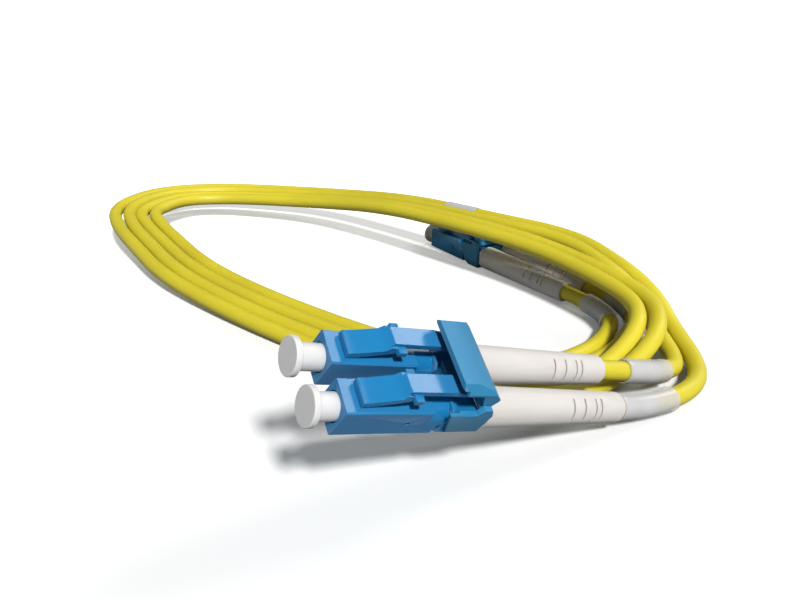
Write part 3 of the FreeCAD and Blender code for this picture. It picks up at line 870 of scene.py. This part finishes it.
def floor_material():
    # white to look at, darker to the light that it sends back on the cord
    material, tree, shader = new_material("floor_white")
    path = tree.nodes.new("ShaderNodeLightPath")
    mix = tree.nodes.new("ShaderNodeMix")
    mix.data_type = "RGBA"
    mix.inputs["A"].default_value = FLOOR_THROWN
    mix.inputs["B"].default_value = FLOOR_SEEN
    tree.links.new(path.outputs["Is Camera Ray"], mix.inputs["Factor"])
    tree.links.new(mix.outputs["Result"], shader.inputs["Base Color"])
    # painted light: towards the back the floor emits a little light to the camera only, which lightens
    # the cast shadows there
    place = tree.nodes.new("ShaderNodeTexCoord")
    parts = tree.nodes.new("ShaderNodeSeparateXYZ")
    painted_light = tree.nodes.new("ShaderNodeMapRange")
    painted_light.interpolation_type = "SMOOTHSTEP"
    painted_light.inputs["From Min"].default_value = PAINTED_LIGHT_REACH[0]
    painted_light.inputs["From Max"].default_value = PAINTED_LIGHT_REACH[1]
    painted_light.inputs["To Min"].default_value = 0.0
    painted_light.inputs["To Max"].default_value = PAINTED_LIGHT_FULL
    seen = tree.nodes.new("ShaderNodeMath")
    seen.operation = "MULTIPLY"
    tree.links.new(place.outputs["Object"], parts.inputs["Vector"])
    tree.links.new(parts.outputs["Y"], painted_light.inputs["Value"])
    tree.links.new(painted_light.outputs["Result"], seen.inputs[0])
    tree.links.new(path.outputs["Is Camera Ray"], seen.inputs[1])
    tree.links.new(seen.outputs["Value"], shader.inputs["Emission Color"])
    shader.inputs["Emission Strength"].default_value = 1.0
    shader.inputs["Roughness"].default_value = 0.9
    shader.inputs["Specular IOR Level"].default_value = 0.1
    return material


def studio_air(strength):
    # even, slightly cool light from all round, white along the horizon and to the camera
    world = bpy.data.worlds.new("studio_air")
    world.use_nodes = True
    tree = world.node_tree
    back = tree.nodes["Background"]
    place = tree.nodes.new("ShaderNodeTexCoord")
    parts = tree.nodes.new("ShaderNodeSeparateXYZ")
    fade = tree.nodes.new("ShaderNodeMapRange")
    fade.interpolation_type = "SMOOTHSTEP"
    fade.inputs["From Min"].default_value = HORIZON_REACH[0]
    fade.inputs["From Max"].default_value = HORIZON_REACH[1]
    fade.inputs["To Min"].default_value = HORIZON_STRENGTH
    fade.inputs["To Max"].default_value = strength
    tree.links.new(place.outputs["Generated"], parts.inputs["Vector"])
    tree.links.new(parts.outputs["Z"], fade.inputs["Value"])
    path = tree.nodes.new("ShaderNodeLightPath")
    seen = tree.nodes.new("ShaderNodeMath")
    seen.operation = "MAXIMUM"
    tree.links.new(fade.outputs["Result"], seen.inputs[0])
    tree.links.new(path.outputs["Is Camera Ray"], seen.inputs[1])
    tree.links.new(seen.outputs["Value"], back.inputs["Strength"])
    tint = tree.nodes.new("ShaderNodeMix")
    tint.data_type = "RGBA"
    tint.inputs["A"].default_value = SKY_COLOUR
    tint.inputs["B"].default_value = WHITE
    tree.links.new(path.outputs["Is Camera Ray"], tint.inputs["Factor"])
    tree.links.new(tint.outputs["Result"], back.inputs["Color"])
    return world


class PATCHCORD_OT_stage(bpy.types.Operator):
    """Make the pale floor and the soft studio light"""
    bl_idname = "patchcord.stage"
    bl_label = "Floor and light"

    def execute(self, context):
        stage = context.scene.patch_cord_stage
        half = stage.floor_size / 2
        corners = [(-half, -half, 0), (half, -half, 0), (half, half, 0), (-half, half, 0)]
        mesh = bpy.data.meshes.new("pale_floor")
        mesh.from_pydata(corners, [], [(0, 1, 2, 3)])
        floor = link_object(bpy.data.objects.new("pale_floor", mesh))
        floor.data.materials.append(floor_material())
        distant_light("key_light", KEY_WAY, stage.key_power, stage.key_spread)
        distant_light("back_light", BACK_WAY, stage.back_power, stage.back_spread)
        context.scene.world = studio_air(stage.sky_strength)
        context.scene.view_settings.view_transform = "Standard"
        return {"FINISHED"}


class PATCHCORD_PT_panel(bpy.types.Panel):
    """Steps that make the patch cord"""
    bl_idname = "PATCHCORD_PT_panel"
    bl_label = "Patch cord"
    bl_space_type = "VIEW_3D"
    bl_region_type = "UI"
    bl_category = "Patch cord"

    def draw(self, context):
        for group in ("patch_cord_sizes", "patch_cord_colours", "patch_cord_stage"):
            settings = getattr(context.scene, group)
            box = self.layout.box()
            for name in settings.bl_rna.properties.keys():
                if name not in ("rna_type", "name"):
                    box.prop(settings, name)
        for step in STEPS:
            self.layout.operator("patchcord." + step)


STEPS = ("camera", "legs", "sleeves", "shells", "boots", "springs", "inner_parts", "stage")
GROUPS = (("patch_cord_sizes", PatchCordSizes), ("patch_cord_colours", PatchCordColours),
          ("patch_cord_stage", PatchCordStage))
CLASSES = (PatchCordSizes, PatchCordColours, PatchCordStage, PATCHCORD_OT_camera, PATCHCORD_OT_legs,
           PATCHCORD_OT_sleeves, PATCHCORD_OT_shells, PATCHCORD_OT_boots, PATCHCORD_OT_springs,
           PATCHCORD_OT_inner_parts, PATCHCORD_OT_stage, PATCHCORD_PT_panel)


def register():
    for cls in CLASSES:
        bpy.utils.register_class(cls)
    for name, group in GROUPS:
        setattr(bpy.types.Scene, name, bpy.props.PointerProperty(type=group))


def unregister():
    for name, _ in GROUPS:
        delattr(bpy.types.Scene, name)
    for cls in reversed(CLASSES):
        bpy.utils.unregister_class(cls)


def main():
    register()
    for step in STEPS:
        getattr(bpy.ops.patchcord, step)()


if __name__ == "__main__":
    main()
